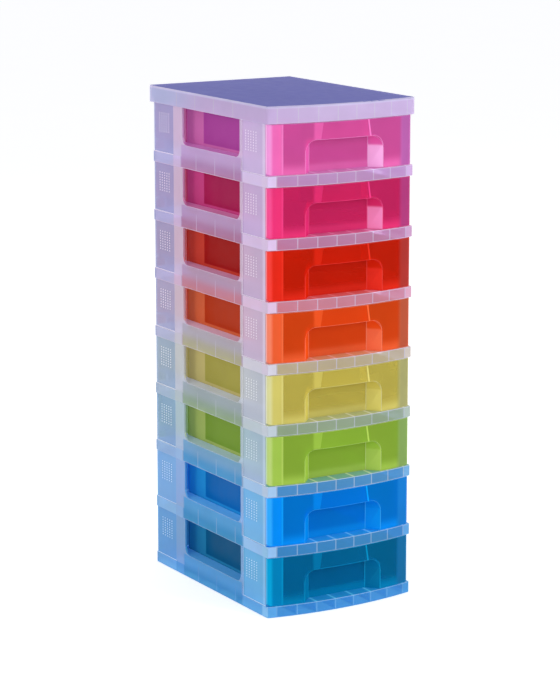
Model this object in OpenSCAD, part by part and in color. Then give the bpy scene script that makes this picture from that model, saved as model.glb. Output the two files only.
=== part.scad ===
// Drawer tower: stacked translucent frames, a lid, and one coloured drawer in each frame.
// The front faces -Y. The origin is under the middle of the tower, on the floor.

/* [Tower] */
// Number of frames, with a drawer in each
layers = 8; // [1:1:8]
// Outside width of a frame
frame_w = 294; // [270:1:330]
// Depth of a frame along its side, without the bow of its front
side_depth = 402; // [390:1:450]
// How far the front bows out at its middle
bow = 17; // [12:1:20]
// Height of one frame, from its bottom edge to the next one's
layer_h = 107; // [100:1:120]
// Thickness of the drawers' walls and of small plates
wall = 2; // [1.6:0.2:2.4]

/* [Frame] */
// Height of the deck's top face above the frame's bottom edge
deck_top = 19.5; // [18:0.5:21]
// Thickness of the skirt round the deck
skirt_t = 3; // [2.4:0.2:3]
// Height of the window sill
sill_h = 41; // [38:1:44]
// Width of the box rail on each side, from the outer face inwards
rail_w = 24.5; // [22:0.5:26]
// How far the column panels are set in from the skirt
panel_inset = 1.5; // [1.2:0.1:1.8]
// Start of the side window, from the front corner
window_front = 91; // [85:1:100]
// End of the side window, from the front corner
window_back = 291; // [270:1:300]
// Radius of the window's lower corners
window_r = 14; // [8:1:16]
// Width of the flush strip in front of the window
strip_front = 6; // [4:1:10]
// Width of the flush strip behind the window
strip_back = 33; // [20:1:40]

/* [Ribs] */
// Number of ribs that show in the front of the skirt
rib_count = 8; // [4:2:8]
// Distance between them
rib_pitch = 37.25; // [34:0.25:38]
// Thickness of a rib
rib_t = 1.6; // [1.2:0.2:2]
// Place of the first cross rib, from the front corner
cross_first = 110; // [105:1:115]
// Distance between cross ribs
cross_pitch = 66; // [60:1:68]

/* [Lid] */
// Height of the lid's rim
rim_h = 30; // [26:1:34]
// How far the lid stands out past the frame at the sides and front
lid_side = 2; // [1:0.5:3]
// How far the lid hangs over at the back
lid_back = 9; // [6:1:12]
// Thickness of the lid's top and rim
lid_t = 3; // [2.4:0.2:3.2]
// Radius of the lid's upper edges
lid_edge_r = 3.5; // [2:0.5:5]

/* [Drawer] */
// Length of a drawer along its side, from the front corner
drawer_depth = 365; // [320:1:370]
// Radius of the drawer's rear corners, seen from above
drawer_r = 55; // [30:1:60]
// Radius of the edge between the drawer's sides and its floor
drawer_edge_r = 7; // [4:0.5:9]
// Gap between the drawer's front and the frame above it
front_gap = 1; // [0.6:0.1:2]
// Thickness of the drawer's front
front_t = 2.2; // [2:0.1:2.6]
// Radius of the front's vertical edges
front_r = 12; // [8:1:14]

/* [Finger recess] */
// Half width of the recess where it opens in the front
recess_mouth = 78; // [70:0.5:82]
// Half width of the recess at its inner wall
recess_inner = 59; // [56:0.5:64]
// Depth of the recess
recess_depth = 25; // [20:1:28]
// Height of the grip above the recess
grip_h = 29.5; // [26:0.5:34]
// Thickness of the grip
grip_t = 3; // [2.8:0.1:4]
// Radius of the recess's two shoulders
shoulder_r = 21; // [15:1:24]
// Half width of the pocket behind the grip, at the top
pocket_top = 45.5; // [40:0.5:48]
// Half width of the pocket behind the grip, at its bottom
pocket_low = 48.5; // [46:0.5:54]

/* [Hidden] */
$fn = 96;
bow_fn = 360;
half_w = frame_w / 2;
corner_y = -(side_depth - bow + lid_back - lid_side) / 2;
back_y = corner_y + side_depth;
bow_r = (half_w * half_w + bow * bow) / (2 * bow);
bow_y = corner_y - bow + bow_r;
skirt_r = 3.5;
back_r = 6;
column_t = 2.5;
through = 1;
rib_lift = 1;
tongue_t = 2.6;
tongue_rise = 6;
tongue_gap = 0.5;
tongue_l = 35;
tongue_places = [25, side_depth - 55];
return_depth = 8.5;
flange_gap = 0.5;
slide_gap = 0.3;
side_gap = 1.5;
front_set = 1.5;
front_low_r = 6;
seat_h = 8;
lid_rib_l = 22;
box_drop = 2;
front_z = deck_top + 0.7;
front_top = layer_h - front_gap;
front_h = front_top - front_z;
box_z = deck_top + slide_gap;
box_top = front_top - box_drop;
box_half = half_w - rail_w - side_gap;
box_back = corner_y + drawer_depth;
front_face_r = bow_r - front_set;
recess_wall_y = bow_y - front_face_r + recess_depth;
arch_top = front_top - grip_h;
mouth_y = bow_at(front_face_r, recess_mouth);
flare = (recess_mouth - recess_inner) / (recess_wall_y - mouth_y);
flange_y = corner_y + return_depth + flange_gap;
cross_count = 4;
cross_ribs = [for (i = [0:cross_count - 1]) cross_first + i * cross_pitch];
long_ribs = [for (i = [0:rib_count - 1]) (i - (rib_count - 1) / 2) * rib_pitch];
frame_tints = [
    [0.48, 0.68, 0.92], [0.55, 0.72, 0.92], [0.70, 0.76, 0.84], [0.76, 0.77, 0.82],
    [0.80, 0.76, 0.86], [0.82, 0.76, 0.90], [0.82, 0.76, 0.92], [0.82, 0.78, 0.92],
];
drawer_tints = [
    [0.00, 0.40, 0.58], [0.00, 0.46, 0.82], [0.55, 0.72, 0.16], [0.80, 0.72, 0.26],
    [0.86, 0.28, 0.08], [0.82, 0.12, 0.06], [0.78, 0.12, 0.34], [0.88, 0.30, 0.58],
];

// Where a bow of radius r crosses x
function bow_at(r, x) = bow_y - sqrt(r * r - x * x);

// The tower's plan, grown at the sides, the front and the back
module plan(side = 0, front = 0, back = 0, front_edge = skirt_r, back_edge = back_r) {
    w = half_w + side;
    r = bow_r + front;
    edge_x = w - front_edge;
    edge_y = bow_y - sqrt((r - front_edge) * (r - front_edge) - edge_x * edge_x);
    touch_x = edge_x * r / (r - front_edge);
    end_y = back_y + back;
    intersection() {
        translate([0, bow_y]) circle(r = r, $fn = bow_fn);
        translate([-touch_x, edge_y - 2 * bow]) square([2 * touch_x, 4 * bow]);
    }
    for (s = [-1, 1]) {
        translate([s * edge_x, edge_y]) circle(r = front_edge);
        translate([s * (w - back_edge), end_y - back_edge]) circle(r = back_edge);
    }
    translate([-w, edge_y]) square([2 * w, end_y - back_edge - edge_y]);
    translate([back_edge - w, edge_y]) square([2 * (w - back_edge), end_y - edge_y]);
}

// A block between two corners
module block(low, high) {
    translate(low) cube(high - low);
}

// The same solid on both sides
module both_sides() {
    children();
    mirror([1, 0, 0]) children();
}

// Ribs across and along the underside of a deck, down to z = rib_lift
module deck_ribs(top) {
    inner = half_w - skirt_t / 2;
    for (x = long_ribs)
        block([x - rib_t / 2, bow_at(bow_r - skirt_t / 2, x), rib_lift],
              [x + rib_t / 2, back_y - skirt_t / 2, top]);
    for (y = cross_ribs)
        block([-inner, corner_y + y - rib_t / 2, rib_lift],
              [inner, corner_y + y + rib_t / 2, top]);
}

// The skirt and the deck on top of it, which is open under the box rails
module skirt_and_deck() {
    difference() {
        linear_extrude(deck_top) plan();
        translate([0, 0, -through])
            linear_extrude(deck_top - wall + through)
                plan(-skirt_t, -skirt_t, -skirt_t, skirt_r - skirt_t, back_r - skirt_t);
        both_sides()
            block([half_w - rail_w + wall, flange_y + wall, deck_top - 2 * wall],
                  [half_w - panel_inset - column_t, back_y - skirt_t, deck_top + through]);
    }
    deck_ribs(deck_top - wall / 2);
}

// The walls above the deck, set in from the skirt
module column_walls() {
    set = -panel_inset;
    inner = set - column_t;
    translate([0, 0, deck_top - wall / 2]) difference() {
        linear_extrude(layer_h - deck_top + wall / 2)
            plan(set, set, set, skirt_r, back_r + set);
        translate([0, 0, -through])
            linear_extrude(layer_h) plan(inner, inner, inner, 1, back_r + inner);
        // Nothing stands in front of the columns: the drawer's front covers them
        block([-frame_w, corner_y - 2 * bow, -through],
              [frame_w, flange_y, 2 * layer_h]);
    }
}

// The flush wall round the window, and the part below the sill
module flush_wall() {
    y0 = corner_y + window_front - strip_front;
    y1 = corner_y + window_back + strip_back;
    block([half_w - panel_inset - column_t, y0, deck_top - wall / 2],
          [half_w, y1, layer_h]);
}

// Space of the window, through the side wall
module window_space() {
    y0 = corner_y + window_front;
    y1 = corner_y + window_back;
    x0 = half_w - panel_inset - column_t - through;
    x1 = half_w + through;
    block([x0, y0, sill_h + window_r], [x1, y1, layer_h + through]);
    block([x0, y0 + window_r, sill_h], [x1, y1 - window_r, layer_h]);
    for (y = [y0 + window_r, y1 - window_r])
        translate([x0, y, sill_h + window_r]) rotate([0, 90, 0])
            cylinder(r = window_r, h = x1 - x0);
}

// Box rail beside the drawer: its inner wall and the ledge on top
module rail() {
    x0 = half_w - rail_w;
    x1 = half_w - panel_inset - column_t / 2;
    y1 = back_y - panel_inset - column_t / 2;
    block([x0, flange_y, deck_top - wall], [x0 + wall, y1, sill_h]);
    block([x0, flange_y, sill_h - wall], [x1, y1, sill_h]);
    for (y = cross_ribs)
        block([x0, corner_y + y - rib_t / 2, deck_top - wall / 2],
              [x1, corner_y + y + rib_t / 2, sill_h - wall / 2]);
}

// Front flange of a column, and the tongues that locate the frame above
module column_details() {
    x0 = half_w - rail_w;
    x1 = half_w - panel_inset - column_t / 2;
    block([x0, flange_y, deck_top - wall / 2], [x1, flange_y + wall, layer_h]);
    tongue_x = half_w - skirt_t - tongue_gap;
    for (y = tongue_places)
        block([tongue_x - tongue_t, corner_y + y, layer_h - 2 * tongue_rise],
              [tongue_x, corner_y + y + tongue_l, layer_h + tongue_rise]);
}

module frame_body() {
    skirt_and_deck();
    difference() {
        union() {
            column_walls();
            both_sides() flush_wall();
        }
        both_sides() window_space();
    }
    both_sides() {
        rail();
        column_details();
    }
}

module frame(i) {
    color(frame_tints[i]) translate([0, 0, i * layer_h]) frame_body();
}

// Short ribs behind the lid's rim, at the places of the frames' ribs
module lid_ribs() {
    for (x = long_ribs)
        block([x - rib_t / 2, bow_at(bow_r - skirt_t / 2, x), rib_lift],
              [x + rib_t / 2, bow_at(bow_r, x) + lid_rib_l, rim_h - lid_t / 2]);
    both_sides() for (y = cross_ribs)
        block([half_w - lid_rib_l, corner_y + y - rib_t / 2, rib_lift],
              [half_w - skirt_t / 2, corner_y + y + rib_t / 2, rim_h - lid_t / 2]);
}

// Outside of the lid, with its upper edges rounded
module lid_outside() {
    w = half_w + lid_side;
    r = bow_r + lid_side;
    end_y = back_y + lid_back;
    y0 = corner_y - 2 * bow;
    flat_z = rim_h - lid_edge_r;
    intersection() {
        linear_extrude(rim_h) plan(lid_side, lid_side, lid_back, skirt_r + lid_side, back_r);
        // Seen from the front: round upper edges at the sides
        translate([0, end_y, 0]) rotate([90, 0, 0]) linear_extrude(end_y - y0) {
            for (s = [-1, 1]) translate([s * (w - lid_edge_r), flat_z]) circle(r = lid_edge_r);
            translate([-w, 0]) square([2 * w, flat_z]);
            translate([lid_edge_r - w, 0]) square([2 * (w - lid_edge_r), rim_h]);
        }
        // Seen from the side: round upper edge at the back
        rotate([90, 0, 90]) translate([0, 0, -w]) linear_extrude(2 * w) {
            translate([end_y - lid_edge_r, flat_z]) circle(r = lid_edge_r);
            translate([y0, 0]) square([end_y - y0, flat_z]);
            translate([y0, 0]) square([end_y - lid_edge_r - y0, rim_h]);
        }
        // Round upper edge along the bow
        translate([0, bow_y, 0]) rotate_extrude($fn = bow_fn) {
            square([r, flat_z]);
            square([r - lid_edge_r, rim_h]);
            translate([r - lid_edge_r, flat_z]) circle(r = lid_edge_r);
        }
    }
}

module lid() {
    lip = lid_t - lid_side;
    color([0.48, 0.50, 0.76]) translate([0, 0, layers * layer_h]) {
        difference() {
            lid_outside();
            translate([0, 0, -through]) linear_extrude(rim_h - lid_t + through)
                plan(-skirt_t, -skirt_t, -skirt_t, skirt_r - skirt_t, back_r - skirt_t);
            // Wider above the seat, where it stands on the frame's columns
            translate([0, 0, seat_h]) linear_extrude(rim_h - lid_t - seat_h)
                plan(-lip, -lip, lid_back - lid_t, skirt_r - lip, back_r);
            // Hollow of the overhang at the back
            block([back_r - half_w, back_y, -through],
                  [half_w - back_r, back_y + lid_back - lid_t, rim_h - lid_t]);
        }
        lid_ribs();
    }
}

// Space of the drawer's tray, shrunk by t at the sides and ends and by floor_t below
module tray_space(t, floor_t, top) {
    w = box_half - t;
    r = drawer_r - t;
    edge = drawer_edge_r - t;
    y0 = corner_y - bow;
    y1 = box_back - t;
    z0 = box_z + floor_t;
    intersection() {
        // Seen from above: bowed front and round rear corners
        linear_extrude(top) {
            intersection() {
                translate([0, bow_y]) circle(r = front_face_r - t, $fn = bow_fn);
                translate([-w, y0]) square([2 * w, y1 - r - y0]);
            }
            for (s = [-1, 1]) translate([s * (w - r), y1 - r]) circle(r = r);
            translate([r - w, y1 - 2 * r]) square([2 * (w - r), 2 * r]);
        }
        // Seen from the front: round lower edges
        translate([0, y1, 0]) rotate([90, 0, 0]) linear_extrude(y1 - y0) {
            for (s = [-1, 1]) translate([s * (w - edge), z0 + edge]) circle(r = edge);
            translate([edge - w, z0]) square([2 * (w - edge), top - z0]);
            translate([-w, z0 + edge]) square([2 * w, top - z0 - edge]);
        }
        // Seen from the side: round lower rear edge
        rotate([90, 0, 90]) translate([0, 0, -w]) linear_extrude(2 * w) {
            translate([y1 - edge, z0 + edge]) circle(r = edge);
            translate([y0, z0]) square([y1 - edge - y0, top - z0]);
            translate([y0, z0 + edge]) square([y1 - y0, top - z0 - edge]);
        }
    }
}

// The bowed front with its returns at the sides, open behind
module front_shell() {
    set = -front_set;
    inner = set - front_t;
    intersection() {
        difference() {
            linear_extrude(front_top) plan(set, set, 0, front_r, back_r);
            translate([0, 0, -through]) linear_extrude(front_top + 2 * through)
                plan(inner, inner, 0, front_r - front_t, back_r);
        }
        // Only the first stretch of the sides, and round lower corners
        translate([0, corner_y + return_depth, 0]) rotate([90, 0, 0])
            linear_extrude(return_depth + 2 * bow) {
                w = half_w - front_set;
                translate([-w, front_z + front_low_r])
                    square([2 * w, front_h - front_low_r]);
                translate([front_low_r - w, front_z])
                    square([2 * (w - front_low_r), front_h]);
                for (s = [-1, 1])
                    translate([s * (w - front_low_r), front_z + front_low_r])
                        circle(r = front_low_r);
            }
    }
}

// Arch of the finger recess, seen from the front, grown by g
module arch_profile(g) {
    w = recess_mouth + g;
    r = shoulder_r + g;
    top = arch_top + g;
    low = -through;
    translate([-w, low]) square([2 * w, top - r - low]);
    translate([r - w, low]) square([2 * (w - r), top - low]);
    for (s = [-1, 1]) translate([s * (w - r), top - r]) circle(r = r);
}

// Space of the finger recess below the grip, grown by g
module recess_space(g) {
    slant = g * norm([1, flare]);
    end_y = recess_wall_y + g;
    start_y = mouth_y - bow;
    mouth = recess_mouth + slant + flare * bow;
    inner = recess_inner + slant - flare * g;
    intersection() {
        translate([0, end_y, 0]) rotate([90, 0, 0])
            linear_extrude(end_y - start_y) arch_profile(g);
        linear_extrude(arch_top + g)
            polygon([[-mouth, start_y], [mouth, start_y], [inner, end_y], [-inner, end_y]]);
    }
}

// Space of the pocket behind the grip, open at the top, grown by g
module pocket_space(g) {
    low = arch_top - shoulder_r;
    high = front_top + through;
    end_y = recess_wall_y + g;
    intersection() {
        translate([0, end_y, 0]) rotate([90, 0, 0]) linear_extrude(2 * recess_depth)
            polygon([[-pocket_low - g, low], [pocket_low + g, low],
                     [pocket_top + g, high], [-pocket_top - g, high]]);
        translate([0, bow_y, low])
            cylinder(r = front_face_r - grip_t + g, h = high - low, $fn = bow_fn);
    }
}

module drawer_body() {
    difference() {
        union() {
            tray_space(0, 0, box_top);
            front_shell();
        }
        difference() {
            tray_space(front_t, wall, front_top + through);
            recess_space(wall);
            pocket_space(wall);
        }
        recess_space(0);
        pocket_space(0);
    }
}

module drawer(i) {
    color(drawer_tints[i]) translate([0, 0, i * layer_h]) drawer_body();
}

lid();
for (i = [0:layers - 1]) {
    frame(i);
    drawer(i);
}
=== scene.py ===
import math
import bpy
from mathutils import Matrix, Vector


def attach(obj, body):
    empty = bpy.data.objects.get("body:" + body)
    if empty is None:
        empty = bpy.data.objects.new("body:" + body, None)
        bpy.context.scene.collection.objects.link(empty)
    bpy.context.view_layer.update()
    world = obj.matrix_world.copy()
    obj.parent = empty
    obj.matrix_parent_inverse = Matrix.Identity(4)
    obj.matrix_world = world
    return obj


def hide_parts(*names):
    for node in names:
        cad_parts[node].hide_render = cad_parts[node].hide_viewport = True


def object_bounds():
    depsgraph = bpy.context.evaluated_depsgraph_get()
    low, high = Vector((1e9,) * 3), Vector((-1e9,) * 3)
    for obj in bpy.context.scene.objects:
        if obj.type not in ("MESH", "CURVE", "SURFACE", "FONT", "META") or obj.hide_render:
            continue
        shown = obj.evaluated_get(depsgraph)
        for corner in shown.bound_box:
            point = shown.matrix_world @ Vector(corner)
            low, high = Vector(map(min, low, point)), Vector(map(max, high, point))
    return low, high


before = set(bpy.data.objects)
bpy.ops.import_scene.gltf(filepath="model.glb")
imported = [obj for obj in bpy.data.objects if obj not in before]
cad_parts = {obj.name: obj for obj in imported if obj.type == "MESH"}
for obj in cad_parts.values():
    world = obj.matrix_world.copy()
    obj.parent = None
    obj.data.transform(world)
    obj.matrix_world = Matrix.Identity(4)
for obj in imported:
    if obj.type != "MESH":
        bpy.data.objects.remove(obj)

from types import SimpleNamespace

import bmesh
import bpy
from mathutils import Matrix, Vector

# ---------------------------------------------------------------- sizes
# In metres, as in the CAD model. The front faces -Y. Heights in a frame count from its foot.

cad_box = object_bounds()
LID_TOP = cad_box[1].z

LAYERS = 8
PITCH = 0.107                             # height of a frame
HALF_W = 0.147                            # half the width of a frame
CORNER_Y = -0.196                         # its front corners
BACK_Y = 0.206                            # its back
BOW = 0.017                               # its front's middle is this far ahead of the corners
BOW_R = (HALF_W ** 2 + BOW ** 2) / (2 * BOW)
BOW_Y = CORNER_Y - BOW + BOW_R            # centre of that curve
SKIN = 0.0065                             # outside faces lie this near its outline

DECK_TOP = 0.0195
SILL = 0.041                              # top of the rails, and foot of the side windows
RAIL_X = HALF_W - 0.0245                  # inner side of a rail
PANEL_X = HALF_W - 0.0015                 # the columns' flat outsides
WALL_X = PANEL_X - 0.0025                 # inner side of the side walls
COLUMN_X = 0.1305                         # inner side of the front columns
POST_X = HALF_W - 0.010                   # inner side of the posts behind a front's ends
WINDOW = (CORNER_Y + 0.091, CORNER_Y + 0.291)   # front and rear end of a side window
STRIP_END = WINDOW[1] + 0.033             # rear end of the flush strip behind it
CORNER_END = CORNER_Y + 0.0175            # rear end of the painted highlight along a front corner
AHEAD_END = WINDOW[0] - 0.0095            # rear end of a front column's side
RIB_PITCH = 0.03725                       # ribs that show in the front of the deck
FIRST_RIB = -3.5 * RIB_PITCH
CROSS_PITCH = 0.066                       # ribs that show under the side windows
CROSS_RIBS = (CORNER_Y + 0.110, CORNER_Y + 0.308)   # the first and the last
CROSS_TOP = 0.029
RIM_H = 0.0011                            # painted highlight along the foot

TRAY_Y = CORNER_Y + 0.0095                # behind this a drawer is tray, ahead of it front
REAR_LIGHT_Y = WINDOW[1] - 0.031                # behind this a tray's flat sides are painted lighter, a painted light,
FOOT_LIGHT_Z = SILL + 0.0045                    # and below this
END_X = 0.1205                            # outside this a front is lighter, a painted light,
END_LINE = (0.1180, 0.1212)               # with a soft line where that starts
ROUND_X = 0.138                           # outside this a front is round
FAR_X = 0.118                             # and its right end is bluer outside this, a painted shade
FOOT_Z = 0.033                            # below this the front and its recess are lighter, a painted light
RECESS_Y = CORNER_Y + 0.008               # inner wall of the finger recess
RECESS_W = 0.059                          # its half width at that wall
RECESS_MOUTH = 0.078                      # and where it opens in the front
RECESS_SHADE_Z = 0.057                    # above this its inner wall is darker
FLANK_Z = 0.059                           # top of the painted highlight on its right-hand wall
GRIP_Z = 0.0765                           # underside of the grip
POCKET_W, POCKET_SLOPE = 0.0490, 0.16     # half width of the pocket there; it narrows upwards
SEAM_W = 0.00325                          # width of the bright seam beside it

BEVEL, LID_BEVEL = 0.0006, 0.0007
LID_ROUND = 0.0045                        # the lid's uppermost edges are round in the CAD model
DOT_R, DOT_H = 0.0013, 0.0007
DOT_STARTS = (0.0385, 0.343)              # the dot grids' front ends, from the front corner
DOT_Z = 0.0575
DOT_COLUMNS, DOT_STEP_Y = 5, 0.0085
DOT_ROWS, DOT_STEP_Z = 8, 0.0046

SOFT = 0.0003                             # half the width over which a sharp colour edge fades
NEAR = 0.0012                             # a face this near a height lies at that height
TURNED, STRAIGHT = (0.7, 0.1), (0.8, 0.1)   # part of a normal that faces a way, and its fade

# Material slots of every piece: body, rounded edges painted lighter as a painted highlight, and the
# outside that is seen most
BODY, EDGE, OUTER = 0, 1, 2

# ---------------------------------------------------------------- colours
# One colour per level, from the bottom up, in 0..255 as they should render. A frame's
# colours hold painted light: the tint that light through the drawers casts on it.

DRAWER_NAMES = ["teal", "blue", "green", "yellow", "orange", "red", "magenta", "pink"]

FRAME_CLEAR = [(160, 212, 250), (165, 214, 250), (225, 238, 250), (242, 243, 250),
               (244, 242, 252), (246, 240, 253), (246, 240, 254), (246, 240, 254)]
FRAME_INNER = [(90, 170, 235), (95, 175, 238), (175, 203, 230), (202, 208, 226),
               (210, 208, 230), (214, 206, 236), (216, 206, 240), (218, 208, 242)]
FRAME_COLUMN = [(120, 204, 251), (130, 208, 252), (184, 208, 230), (202, 209, 226),
                (218, 198, 228), (214, 192, 226), (216, 192, 236), (222, 202, 242)]
FRAME_BACK = [(120, 190, 242), (148, 204, 242), (150, 184, 224), (158, 186, 218),
              (170, 180, 220), (165, 174, 218), (165, 174, 220), (168, 178, 222)]
FRAME_BAND = [(62, 152, 214), (66, 156, 216), (80, 160, 215), (160, 180, 148),
              (202, 186, 150), (220, 140, 158), (200, 134, 174), (202, 156, 208)]
SIDE_BAND = [(61, 162, 206), (59, 168, 216), (70, 168, 218), (155, 180, 148),
             (188, 185, 146), (212, 135, 151), (185, 128, 166), (190, 144, 188)]
SIDE_UPPER = [(98, 187, 235), (94, 188, 236), (128, 185, 220), (173, 188, 190),
              (193, 188, 194), (197, 167, 192), (199, 165, 202), (212, 181, 222)]
FRAME_LEDGE = [(92, 174, 228), (108, 192, 248), (184, 210, 224), (208, 218, 232),
               (222, 196, 218), (212, 160, 196), (216, 136, 186), (220, 138, 206)]
FRAME_PALE = [(98, 180, 236), (165, 212, 252), (178, 214, 246), (204, 216, 226),
              (222, 220, 234), (232, 206, 236), (228, 206, 242), (230, 212, 248)]
FRAME_EDGE = [(170, 216, 250), (190, 225, 252), (215, 232, 248), (228, 234, 244),
              (236, 230, 246), (238, 224, 246), (240, 226, 248), (242, 229, 251)]

DRAWER_CLEAR = [(90, 205, 232), (80, 195, 255), (215, 240, 130), (250, 243, 185),
                (255, 165, 100), (255, 115, 80), (255, 125, 185), (255, 180, 228)]
DRAWER_MAIN = [(0, 122, 166), (0, 146, 218), (164, 194, 76), (202, 192, 98),
               (222, 88, 26), (204, 40, 8), (208, 49, 118), (218, 102, 176)]
# DRAWER_DARK is painted shade on the trays' flat sides
DRAWER_DARK = [(0, 80, 120), (0, 96, 166), (112, 143, 46), (156, 148, 66),
               (168, 46, 0), (148, 6, 0), (155, 16, 72), (162, 62, 146)]
DRAWER_SIDE = [(0, 152, 204), (4, 168, 250), (186, 214, 98), (222, 214, 126),
               (244, 116, 64), (234, 52, 32), (240, 66, 140), (244, 128, 200)]
DRAWER_EDGE = [(6, 182, 230), (58, 190, 252), (204, 222, 140), (222, 222, 170),
               (246, 150, 118), (246, 76, 68), (242, 92, 160), (242, 170, 228)]
# DRAWER_FLANK is the painted highlight on the right-hand wall of the recess
DRAWER_FLANK = [(0, 120, 166), (4, 150, 232), (176, 204, 94), (216, 206, 112),
                (240, 116, 76), (230, 52, 36), (244, 150, 204), (248, 190, 238)]

WHITE = (255, 255, 255)
REAR_BLUE = (90, 130, 190)                # tints the rear edge of the frames
FAR_BLUE = (90, 110, 165)                 # painted shade on the right end of the drawers' fronts
REAR_LIGHT_TINT = (190, 160, 200)                    # painted light over the rear and foot of the trays' flat sides
LID_CLEAR, LID_TOP_CLEAR = (246, 240, 254), (200, 200, 240)
LID_RIM, LID_SIDE_BACK, LID_UPPER = (216, 194, 234), (198, 204, 240), (214, 206, 240)
LID_EDGE, LID_FLAT = (236, 226, 250), (120, 122, 190)


def linear(rgb):
    """A colour in 0..255 as linear values, with alpha 1."""
    out = []
    for c in rgb:
        c /= 255
        out.append(c / 12.92 if c <= 0.04045 else ((c + 0.055) / 1.055) ** 2.4)
    return (*out, 1.0)


def blend(a, b, share):
    """The linear colour a share of the way from a to b, both written in 0..255."""
    return linear([x + (y - x) * share for x, y in zip(a, b)])


def scaled(rgb, amount):
    """The linear colour of rgb, made darker or brighter."""
    return (*(c * amount for c in linear(rgb)[:3]), 1.0)


# ---------------------------------------------------------------- node helpers

class Nodes:
    """Short calls for building the node tree of a material or of the world."""

    def __init__(self, owner, output="OutputMaterial"):
        owner.use_nodes = True
        self.tree = owner.node_tree
        self.tree.nodes.clear()
        self.out = self.add(output)

    def add(self, kind, **sockets):
        """A node with its sockets set or linked; a socket's name has _ for each space."""
        node = self.tree.nodes.new("ShaderNode" + kind)
        for name, value in sockets.items():
            self.put(node.inputs[name.replace("_", " ")], value)
        return node

    def put(self, socket, value):
        """Links an output to a socket, or sets the socket to a constant."""
        if isinstance(value, bpy.types.NodeSocket):
            self.tree.links.new(value, socket)
        else:
            socket.default_value = value

    def maths(self, op, a, b=0.0):
        node = self.tree.nodes.new("ShaderNodeMath")
        node.operation = op
        self.put(node.inputs[0], a)
        self.put(node.inputs[1], b)
        return node.outputs[0]

    def minus(self, a, b):
        return self.maths("SUBTRACT", a, b)

    def absolute(self, value):
        return self.maths("ABSOLUTE", value)

    def tint(self, colour, amount):
        """A colour multiplied by an amount."""
        node = self.tree.nodes.new("ShaderNodeVectorMath")
        node.operation = "SCALE"
        self.put(node.inputs[0], colour if isinstance(colour, bpy.types.NodeSocket) else colour[:3])
        self.put(node.inputs["Scale"], amount)
        return node.outputs[0]

    def mix(self, fac, a, b):
        """Colour a, and b where fac is 1."""
        node = self.tree.nodes.new("ShaderNodeMix")
        node.data_type = "RGBA"
        for socket, value in zip((node.inputs[0], node.inputs[6], node.inputs[7]), (fac, a, b)):
            self.put(socket, value)
        return node.outputs[2]

    def joined(self, kind, *inputs):
        """A mixing or adding shader node's output, from its inputs in order."""
        node = self.add(kind)
        for socket, value in zip(node.inputs, inputs):
            self.put(socket, value)
        return node.outputs[0]

    def noise(self, coords, scale, detail):
        return self.add("TexNoise", Vector=coords, Scale=scale, Detail=detail).outputs["Fac"]

    # Masks are 1 where something holds, 0 where it doesn't, and soft between.

    def ramp(self, value, low, high, to_low=0.0, to_high=1.0):
        """Goes smoothly from to_low to to_high while value goes from low to high."""
        node = self.tree.nodes.new("ShaderNodeMapRange")
        node.interpolation_type = "SMOOTHSTEP"
        for socket, v in zip(node.inputs, (value, low, high, to_low, to_high)):
            self.put(socket, v)
        return node.outputs[0]

    def past(self, value, edge, soft):
        return self.ramp(value, edge - soft, edge + soft)

    def before(self, value, edge, soft, most=1.0):
        return self.ramp(value, edge - soft, edge + soft, most, 0.0)

    def within(self, value, low, high, soft=SOFT):
        return self.all_of(self.past(value, low, soft), self.before(value, high, soft))

    def around(self, value, middle, reach):
        return self.within(value, middle - reach, middle + reach)

    def inverse(self, mask):
        return self.minus(1.0, mask)

    def all_of(self, *masks):
        return self.chained("MULTIPLY", masks)

    def any_of(self, *masks):
        return self.chained("MAXIMUM", masks)

    def chained(self, op, masks):
        out = masks[0]
        for mask in masks[1:]:
            out = self.maths(op, out, mask)
        return out

    def lines(self, value, pitch, first, width):
        """Mask of lines of a width, at a pitch from the first one on."""
        turn = self.maths("FRACT", self.maths("DIVIDE", self.minus(value, first - pitch / 2), pitch))
        off = self.maths("MULTIPLY", self.absolute(self.minus(turn, 0.5)), pitch)
        return self.before(off, 0.5 * width, 0.15 * width)


# ---------------------------------------------------------------- plastic

PLASTIC_IOR = 1.49
CLOUD_SCALE, SATIN_SCALE, GRAIN_SCALE = 14.0, 60.0, 900.0
GRAIN_DEPTH, GRAIN_STRENGTH = 0.00006, 0.25


def spot(n, coords, lift):
    """Where a point lies on its piece and which way it faces, with heights above lift."""
    x, y, z = n.add("SeparateXYZ", Vector=coords["Object"]).outputs
    nx, ny, nz = n.add("SeparateXYZ", Vector=coords["Normal"]).outputs
    return SimpleNamespace(x=x, side=n.absolute(x), y=y, z=n.minus(z, lift),
                           nx=n.absolute(nx), ny=n.absolute(ny), nz=nz)


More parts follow.
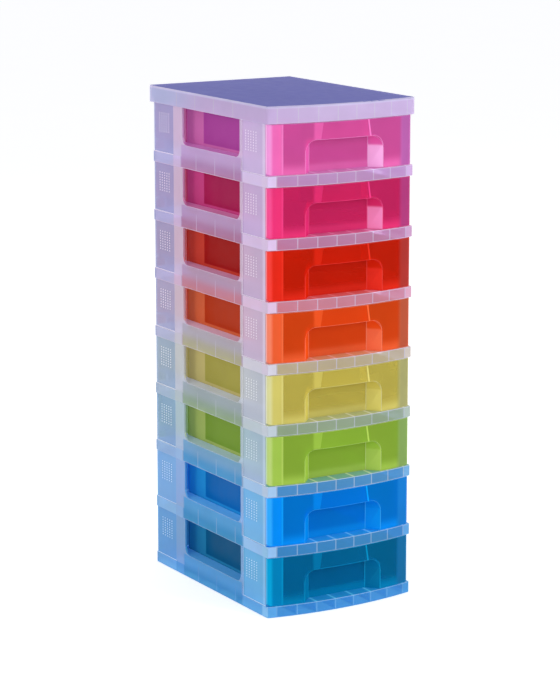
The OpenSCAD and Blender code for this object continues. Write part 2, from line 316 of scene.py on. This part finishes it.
def plastic(name, colour, clear, opacity, zones=None, level=0, rough=0.34, cloud=0.03,
            specular=0.3, glow=0.0):
    """Moulded translucent plastic: a satin body, and a share that lets tinted light through.

    zones(n, at, level) gives (mask, colour, opacity) for the places that differ, where at is
    the spot in question. Later ones lie over earlier ones.
    """
    mat = bpy.data.materials.new(name)
    n = Nodes(mat)
    coords = n.add("TexCoord").outputs
    body, share = colour, opacity
    if zones:
        for mask, other, other_share in zones(n, spot(n, coords, level * PITCH), level):
            body = n.mix(mask, body, other)
            share = n.ramp(mask, 0.0, 1.0, share, other_share)
    clouds = n.ramp(n.noise(coords["Object"], CLOUD_SCALE, 3.0), 0.3, 0.7, 1 - cloud, 1 + cloud)
    satin = n.ramp(n.noise(coords["Object"], SATIN_SCALE, 3.0), 0.3, 0.7, rough - 0.05, rough + 0.06)
    grain = n.add("Bump", Height=n.noise(coords["Object"], GRAIN_SCALE, 2.0),
                  Strength=GRAIN_STRENGTH, Distance=GRAIN_DEPTH)
    body = n.tint(body, clouds)
    shader = n.add("BsdfPrincipled", Base_Color=body, Roughness=satin, Normal=grain.outputs[0],
                   IOR=PLASTIC_IOR, Specular_IOR_Level=specular)
    if glow:
        n.put(shader.inputs["Emission Color"], body)
        n.put(shader.inputs["Emission Strength"], glow)
    through = n.add("BsdfTransparent", Color=clear)
    surface = n.joined("MixShader", share, through.outputs[0], shader.outputs[0])
    n.put(n.out.inputs["Surface"], surface)
    return mat


# ---------------------------------------------------------------- zones of the frames

def inside_zones(n, at, i):
    """Faces inside a frame, most of them painted with the drawer's tinted light, which also lifts them
    out of their shade.
    """
    rib, below = blend(DRAWER_EDGE[i], FRAME_EDGE[i], 0.5), blend(DRAWER_SIDE[i], FRAME_BAND[i], 0.6)
    ledge, pale = linear(FRAME_LEDGE[i]), linear(FRAME_PALE[i])
    behind = scaled(DRAWER_MAIN[i], 1.25)

    up = n.past(at.nz, 0.7, 0.2)
    lengthways = n.past(at.ny, *STRAIGHT)
    by_front = n.before(at.y, CORNER_Y + 0.016, 0.002)
    window = n.all_of(n.past(at.side, WALL_X - 0.0005, SOFT), n.within(at.y, *WINDOW),
                      n.past(at.z, SILL - SOFT, SOFT))
    jamb = n.all_of(window, lengthways)
    rail = n.all_of(up, n.around(at.z, SILL, NEAR), n.past(at.side, RAIL_X - 0.0016, SOFT))
    foot = n.all_of(up, n.around(at.z, DECK_TOP, NEAR), by_front)
    ribs = n.all_of(foot, n.lines(at.x, RIB_PITCH, FIRST_RIB, 0.0045))
    back_wall = n.all_of(n.past(at.y, BACK_Y - 0.005, 0.0005), lengthways,
                         n.past(at.z, DECK_TOP + 0.0015, 0.0015))
    posts = n.all_of(lengthways, n.past(at.side, POST_X, 0.001), by_front)
    # Painted light: window ledge, jamb, rail, deck foot, ribs and back wall take the drawer's tinted
    # light
    return [(window, ledge, 0.8), (jamb, rib, 0.85), (rail, ledge, 0.9), (foot, below, 0.9),
            (ribs, rib, 0.9), (back_wall, behind, 0.8), (posts, pale, 0.7)]


def dot_zones(n, at, i):
    """Bright dots on the columns."""
    dots = n.within(at.side, PANEL_X, PANEL_X + 0.0009, 0.0001)
    return [(dots, blend(FRAME_EDGE[i], WHITE, 0.5), 0.95)]


def cross_ribs(n, at, width):
    """Lines where ribs show through a side, under the window."""
    return n.all_of(n.within(at.y, CROSS_RIBS[0] - 0.01, CROSS_RIBS[1] + 0.01),
                    n.lines(at.y, CROSS_PITCH, CROSS_RIBS[0], width))


def outside_zones(n, at, i):
    """Bands, columns, flush strips and rib lines on the outside of a frame, with painted highlights down
    its front corners and along its bands' foot and top.
    """
    on_side = n.past(at.nx, *TURNED)
    on_front = n.inverse(on_side)
    by_deck = n.before(at.z, DECK_TOP + SOFT, SOFT)
    by_rail = n.before(at.z, SILL + SOFT, SOFT)

    # The band in front of the deck and the ones under the side windows
    under = n.all_of(on_side, by_rail, n.within(at.y, WINDOW[0] - 0.004, WINDOW[1] + 0.004, 0.003))
    under_top = n.all_of(under, n.past(at.z, DECK_TOP + 0.0005, 0.010))
    bands = n.any_of(n.all_of(by_deck, on_front), under)
    ends = n.all_of(on_front, by_deck, n.past(at.side, COLUMN_X, 0.0005))
    right_end = n.all_of(ends, n.past(at.x, 0.005, 0.005))

    # The columns, from the front corner to the back
    # A painted highlight down each front corner
    corner = n.all_of(on_side, n.before(at.y, CORNER_END, 0.0025))
    ahead = n.all_of(on_side, n.before(at.y, AHEAD_END, 0.0025))
    strip = n.all_of(on_side, n.inverse(under), n.past(at.side, (PANEL_X + HALF_W) / 2, 0.00025),
                     n.past(at.z, DECK_TOP + SOFT, SOFT))
    strip_foot = n.all_of(on_side, by_deck,
                          n.within(at.y, WINDOW[1] + 0.007, STRIP_END + 0.002, 0.003))
    behind = n.all_of(on_side, n.past(at.y, STRIP_END + 0.0005, 0.0015))
    rear_edge = n.all_of(on_side, n.past(at.y, BACK_Y - 0.009, 0.005))

    rib_front = n.all_of(on_front, by_deck, n.lines(at.x, RIB_PITCH, FIRST_RIB, 0.0019))
    rib_side = n.all_of(under, cross_ribs(n, at, 0.0018), n.before(at.z, CROSS_TOP, 0.003))
    # rims and top: painted highlights along the foot and the top edge of the bands
    rims = n.all_of(bands, n.before(at.z, RIM_H, SOFT))
    top = n.all_of(on_front, n.within(at.z, DECK_TOP - 0.0011, DECK_TOP + 0.0004))

    pale, column = linear(FRAME_PALE[i]), linear(FRAME_COLUMN[i])
    return [(behind, linear(FRAME_BACK[i]), 0.6),
            (bands, linear(FRAME_BAND[i]), 0.6),
            (under, linear(SIDE_BAND[i]), 0.6),
            (under_top, linear(SIDE_UPPER[i]), 0.6),
            (strip, linear(FRAME_EDGE[i]), 0.5),
            (strip_foot, pale, 0.6),
            (n.all_of(behind, by_deck), blend(FRAME_BACK[i], FRAME_PALE[i], 0.3), 0.7),
            (rear_edge, blend(FRAME_BACK[i], REAR_BLUE, 0.3), 0.7),
            (ahead, column, 0.68),
            (n.all_of(ahead, by_deck), pale, 0.75),
            (ends, pale, 0.75),
            (right_end, blend(FRAME_BAND[i], FRAME_PALE[i], 0.35), 0.7),
            (corner, blend(FRAME_COLUMN[i], FRAME_EDGE[i], 0.55), 0.75),
            (n.any_of(rib_front, rib_side, rims, top), blend(FRAME_PALE[i], FRAME_EDGE[i], 0.4), 0.5)]


# ---------------------------------------------------------------- zones of the drawers and the lid

def drawer_zones(n, at, i):
    """Painted light and shade on a drawer: a lit left end and foot of its front, a shaded right end, lit
    and shaded walls in its recess, and painted shade on its flat tray sides.
    """
    main, side, edge = DRAWER_MAIN[i], DRAWER_SIDE[i], DRAWER_EDGE[i]
    in_front = n.before(at.y, TRAY_Y, 0.0005)
    left, right = n.maths("MULTIPLY", at.x, -1.0), at.x

    # The front, over its whole width
    # Painted light up from the foot of the front
    low = n.all_of(in_front, n.before(at.z, FOOT_Z, 0.013, 0.9))
    # Painted light on the left end, the soft line where it starts, and its round corner
    left_end = n.all_of(in_front, n.past(left, END_X, 0.001))
    left_line = n.all_of(in_front, n.within(left, *END_LINE, 0.0008))
    left_corner = n.all_of(in_front, n.past(left, ROUND_X, 0.004))
    # Painted shade on the right end
    right_end = n.all_of(in_front, n.past(right, FAR_X, 0.006))
    returns = n.all_of(in_front, n.past(at.nx, *STRAIGHT),
                       n.past(at.side, HALF_W - 0.00275, 0.00025))

    # Above the grip, beside the pocket, which is wider at its foot
    pocket = n.maths("ADD", n.maths("MULTIPLY", at.z, -POCKET_SLOPE),
                     POCKET_W + POCKET_SLOPE * GRIP_Z)
    above = n.all_of(in_front, n.past(at.z, GRIP_Z + 0.0002, 0.0005), n.past(at.ny, *STRAIGHT))
    shoulder = n.all_of(above, n.past(n.minus(left, pocket), 0.0, 0.0005),
                        n.before(left, RECESS_W + 0.003, 0.004))
    right_of = n.minus(right, pocket)
    seam = n.all_of(above, n.past(right_of, 0.0, 0.0005), n.before(right_of, SEAM_W, 0.00075))

    # The recess: its inner wall, with painted shade at its top and painted light at its foot, and the
    # two curved walls beside that, painted lighter, with a painted highlight on the right-hand one
    inner = n.all_of(in_front, n.past(at.ny, 0.925, 0.025), n.before(at.side, RECESS_W + 0.0025, 0.0005),
                     n.past(at.y, RECESS_Y - 0.0005, 0.0005))
    inner_top = n.all_of(inner, n.past(at.z, RECESS_SHADE_Z, 0.017))
    inner_foot = n.all_of(inner, n.before(at.z, FOOT_Z, 0.005, 0.8))
    curved = n.all_of(in_front, n.past(at.nx, 0.4, 0.1),
                      n.within(at.side, RECESS_W - 0.019, RECESS_MOUTH + 0.004, 0.002))
    right_curved = n.all_of(curved, n.past(right, 0.005, 0.005), n.before(at.z, FLANK_Z, 0.003))

    # The tray's sides, which show in the windows: painted shade on their flat parts, lighter at their
    # rear and foot, a painted light
    flat = n.all_of(n.past(at.nx, 0.97, 0.02), n.inverse(in_front))
    lit_flat_rear = n.all_of(flat, n.any_of(n.past(at.y, REAR_LIGHT_Y, 0.002), n.before(at.z, FOOT_LIGHT_Z, 0.001)))

    return [(flat, linear(DRAWER_DARK[i]), 0.92),
            (lit_flat_rear, blend([0.92 * c for c in main], REAR_LIGHT_TINT, 0.18), 0.88),
            (low, linear(side), 0.5),
            (shoulder, blend(main, side, 0.45), 0.5),
            (seam, linear(side), 0.7),
            (left_end, linear(side), 0.5),
            (left_line, blend(side, edge, 0.2), 0.6),
            (left_corner, linear(edge), 0.65),
            (right_end, blend(main, FAR_BLUE, 0.3), 0.6),
            (returns, blend(edge, FRAME_EDGE[i], 0.5), 0.7),
            (inner_top, scaled(main, 0.85), 0.5),
            (inner_foot, blend(side, edge, 0.3), 0.6),
            (curved, scaled(main, 1.3), 0.55),
            (right_curved, linear(DRAWER_FLANK[i]), 0.75)]


def lid_zones(n, at, _):
    """Rib lines on the lid's rim, its bluer rear, and its pale upper edge."""
    on_side = n.past(at.nx, *TURNED)
    rear = n.all_of(on_side, n.past(at.y, 0.08, 0.08))
    rib_front = n.all_of(n.past(at.ny, *TURNED), n.lines(at.x, RIB_PITCH, FIRST_RIB, 0.0019))
    rib_side = n.all_of(on_side, cross_ribs(n, at, 0.0026))
    upper = n.past(at.z, LID_TOP - 0.004, 0.002)
    return [(rear, linear(LID_SIDE_BACK), 0.6), (n.any_of(rib_front, rib_side), linear(LID_EDGE), 0.5),
            (upper, linear(LID_UPPER), 0.7)]


# ---------------------------------------------------------------- shapes

WELD = 0.0001
FLAT_ANGLE, BEVEL_ANGLE, SMOOTH_ANGLE = (math.radians(a) for a in (0.6, 35, 20))
FACES = 0.6                               # part of a normal at which a face counts as facing a way


def detailed(node, width, top=math.inf):
    """A CAD node's solid with its flat faces joined up and its edges below top rounded."""
    bm = bmesh.new()
    bm.from_mesh(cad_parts[node].data)
    bmesh.ops.remove_doubles(bm, verts=bm.verts, dist=WELD)
    bmesh.ops.dissolve_limit(bm, angle_limit=FLAT_ANGLE, verts=bm.verts, edges=bm.edges)
    bmesh.ops.dissolve_degenerate(bm, dist=2 * WELD, edges=bm.edges)
    for f in bm.faces:
        f.material_index = BODY
    sharp = [e for e in bm.edges if e.calc_face_angle(0.0) > BEVEL_ANGLE
             and max(v.co.z for v in e.verts) < top]
    bmesh.ops.bevel(bm, geom=sharp, offset=width, offset_type="OFFSET", segments=2, profile=0.5,
                    affect="EDGES", clamp_overlap=False, material=EDGE, miter_outer="ARC")
    return bm


def add_dome(bm, centre, axis, rings=2, around=8):
    """A low round dot that stands out along an axis."""
    axis = Vector(axis)
    side = axis.orthogonal().normalized()
    other = axis.cross(side)
    faces, last = [], None
    for k in range(rings + 1):
        rise = k / (rings + 1) * math.pi / 2
        middle = Vector(centre) + axis * (DOT_H * math.sin(rise))
        r = DOT_R * math.cos(rise)
        turns = [2 * math.pi * j / around for j in range(around)]
        loop = [bm.verts.new(middle + side * (r * math.cos(t)) + other * (r * math.sin(t)))
                for t in turns]
        if last:
            for j in range(around):
                after = (j + 1) % around
                faces.append(bm.faces.new((last[j], last[after], loop[after], loop[j])))
        else:
            faces.append(bm.faces.new(list(reversed(loop))))
        last = loop
    faces.append(bm.faces.new(last))
    for f in faces:
        f.material_index = EDGE


def add_dot_grids(bm):
    """Grids of dots on the columns, on both sides."""
    for start in DOT_STARTS:
        for i in range(DOT_COLUMNS):
            for j in range(DOT_ROWS):
                y, z = CORNER_Y + start + DOT_STEP_Y * i, DOT_Z + DOT_STEP_Z * j
                for s in (-1, 1):
                    add_dome(bm, (s * (PANEL_X - 0.0001), y, z), (s, 0, 0))


def finished(bm, name):
    """A mesh with smooth shading, sharp where two faces meet at more than SMOOTH_ANGLE."""
    bm.normal_update()
    for f in bm.faces:
        f.smooth = True
    for e in bm.edges:
        e.smooth = len(e.link_faces) == 2 and e.calc_face_angle(0.0) < SMOOTH_ANGLE
    mesh = bpy.data.meshes.new(name)
    bm.to_mesh(mesh)
    bm.free()
    return mesh


def mark_outside(mesh):
    """Gives a frame's outside faces their own slot."""
    for f in mesh.polygons:
        out_x, out_y = f.normal.x * math.copysign(1, f.center.x), f.normal.y
        side = out_x > FACES and abs(f.center.x) > HALF_W - SKIN
        back = out_y > FACES and f.center.y > BACK_Y - SKIN
        front = out_y < -FACES and math.hypot(f.center.x, f.center.y - BOW_Y) > BOW_R - 0.0005
        if f.material_index == BODY and (side or back or front):
            f.material_index = OUTER


def mark_top(mesh):
    """Gives the lid's flat top its own slot."""
    for f in mesh.polygons:
        if f.normal.z > 0.9 and f.center.z > LID_TOP - 0.001:
            f.material_index = OUTER


# ---------------------------------------------------------------- pieces

def add_piece(name, mesh, materials, body, node, lift=0.0):
    """A piece from a copy of the mesh, lifted, that stands for a CAD node."""
    mesh = mesh.copy()
    mesh.name = name
    mesh.transform(Matrix.Translation((0, 0, lift)))
    for m in materials:
        mesh.materials.append(m)
    obj = bpy.data.objects.new(name, mesh)
    bpy.context.scene.collection.objects.link(obj)
    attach(obj, body)
    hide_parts(node)


def frame_materials(i):
    clear, edge = linear(FRAME_CLEAR[i]), linear(FRAME_EDGE[i])
    # The frame's inside glows a little: painted light that lifts it out of its shade
    return [plastic(f"frame_inner_{i + 1}", linear(FRAME_INNER[i]), clear, 0.12, inside_zones, i,
                    glow=0.12),
            plastic(f"frame_edge_{i + 1}", edge, clear, 0.6, dot_zones, i),
            plastic(f"frame_outer_{i + 1}", linear(FRAME_COLUMN[i]), clear, 0.5, outside_zones, i)]


def drawer_materials(i):
    clear = linear(DRAWER_CLEAR[i])
    # The drawers' plastic and edges glow a little: painted light in place of light scattered through the
    # plastic
    return [plastic(f"drawer_plastic_{i + 1}", linear(DRAWER_MAIN[i]), clear, 0.38, drawer_zones, i,
                    specular=0.05, glow=0.15),
            plastic(f"drawer_edge_{i + 1}", linear(DRAWER_EDGE[i]), clear, 0.6, specular=0.2, glow=0.1)]


def lid_materials():
    clear = linear(LID_CLEAR)
    return [plastic("lid_rim", linear(LID_RIM), clear, 0.6, lid_zones),
            plastic("lid_edge", linear(LID_EDGE), clear, 0.6),
            plastic("lid_top", linear(LID_FLAT), linear(LID_TOP_CLEAR), 0.88, cloud=0.01,
                    rough=0.6, specular=0.04)]


def make_tower():
    frame_bm = detailed("frame_1", BEVEL)
    add_dot_grids(frame_bm)
    frame_mesh = finished(frame_bm, "frame")
    mark_outside(frame_mesh)
    drawer_mesh = finished(detailed("drawer_1", BEVEL), "drawer")
    lid_mesh = finished(detailed("lid", LID_BEVEL, LID_TOP - LID_ROUND), "lid")
    mark_top(lid_mesh)

    for i in range(LAYERS):
        n, lift = i + 1, i * PITCH
        add_piece(f"frame_{n}_moulding", frame_mesh, frame_materials(i), "tower", f"frame_{n}",
                  lift)
        add_piece(f"drawer_{n}_tray", drawer_mesh, drawer_materials(i), f"{DRAWER_NAMES[i]}_drawer",
                  f"drawer_{n}", lift)
    add_piece("lid_moulding", lid_mesh, lid_materials(), "tower", "lid")


# ---------------------------------------------------------------- floor, light and camera

FLOOR_HALF, FLOOR_Z = 60.0, -0.0005
LAMPS = [   # name, place, height on the tower's axis that it aims at, size in metres, watts
    ("key", (1.9, -3.4, 1.7), 0.45, (1.6, 2.2), 85),
    ("side_fill", (-3.6, -0.6, 1.2), 0.45, (1.6, 2.2), 40),
    ("back", (-0.8, 3.2, 2.2), 0.5, (2.0, 2.0), 30),
]

# Camera fitted to the tower's corners in the photograph
PHOTO_H = 700                             # height of the photograph in pixels
FOCAL = 2496                              # focal length in those pixels
SENSOR = 36.0                             # mm
SHIFT = -0.10
TURN, TILT = math.radians(31.226), math.radians(10.422)
AIM, DISTANCE = Vector((0, 0.005, 0.5477)), 4.447


def background_rays(n):
    """Mask of the rays that see floor and world as a white background."""
    path = n.add("LightPath").outputs
    return n.any_of(path["Is Camera Ray"], path["Is Glossy Ray"], path["Is Transmission Ray"])


def floor_material():
    """Pale floor that takes the shadow, and reads as white to the camera and in gloss."""
    mat = bpy.data.materials.new("pale_floor")
    n = Nodes(mat)
    dust = n.noise(n.add("TexCoord").outputs["Object"], 3.0, 4.0)
    matte = n.add("BsdfDiffuse", Color=n.mix(dust, (0.80, 0.80, 0.80, 1), (0.82, 0.82, 0.82, 1)))
    glow = n.add("Emission", Strength=n.maths("MULTIPLY", background_rays(n), 0.5))
    n.put(n.out.inputs["Surface"], n.joined("AddShader", matte.outputs[0], glow.outputs[0]))
    return mat


def make_floor():
    bm = bmesh.new()
    bmesh.ops.create_grid(bm, x_segments=4, y_segments=4, size=FLOOR_HALF)
    mesh = bpy.data.meshes.new("floor")
    bm.to_mesh(mesh)
    bm.free()
    mesh.materials.append(floor_material())
    floor = bpy.data.objects.new("floor", mesh)
    floor.location = (0, 0, FLOOR_Z)
    bpy.context.scene.collection.objects.link(floor)


def make_world():
    """Soft studio light that is seen as white."""
    world = bpy.data.worlds.new("studio")
    bpy.context.scene.world = world
    n = Nodes(world, "OutputWorld")
    light = n.add("Background", Color=(0.95, 0.96, 1.0, 1), Strength=0.62)
    seen = n.add("Background", Color=(1, 1, 1, 1), Strength=1.0)
    n.put(n.out.inputs["Surface"],
          n.joined("MixShader", background_rays(n), light.outputs[0], seen.outputs[0]))


def looking(obj, direction):
    """Turns a lamp or a camera to look in a direction."""
    obj.rotation_mode = "QUATERNION"
    obj.rotation_quaternion = direction.to_track_quat("-Z", "Y")


def make_lamp(name, where, aim_z, size, watts):
    data = bpy.data.lights.new(name, "AREA")
    data.shape = "RECTANGLE"
    data.size, data.size_y = size
    data.energy = watts
    lamp = bpy.data.objects.new(name, data)
    lamp.location = where
    looking(lamp, Vector((0, 0, aim_z)) - Vector(where))
    bpy.context.scene.collection.objects.link(lamp)


def make_camera():
    ahead = Vector((math.sin(TURN) * math.cos(TILT), math.cos(TURN) * math.cos(TILT),
                    -math.sin(TILT)))
    data = bpy.data.cameras.new("camera")
    data.sensor_width = SENSOR
    data.lens = FOCAL / PHOTO_H * SENSOR
    data.shift_y = SHIFT
    data.clip_end = 200.0
    camera = bpy.data.objects.new("camera", data)
    camera.location = AIM - ahead * DISTANCE
    looking(camera, ahead)
    bpy.context.scene.collection.objects.link(camera)
    bpy.context.scene.camera = camera


make_tower()
make_floor()
make_world()
for lamp in LAMPS:
    make_lamp(*lamp)
make_camera()
bpy.context.scene.view_settings.view_transform = "Standard"
bpy.context.scene.cycles.transparent_max_bounces = 32
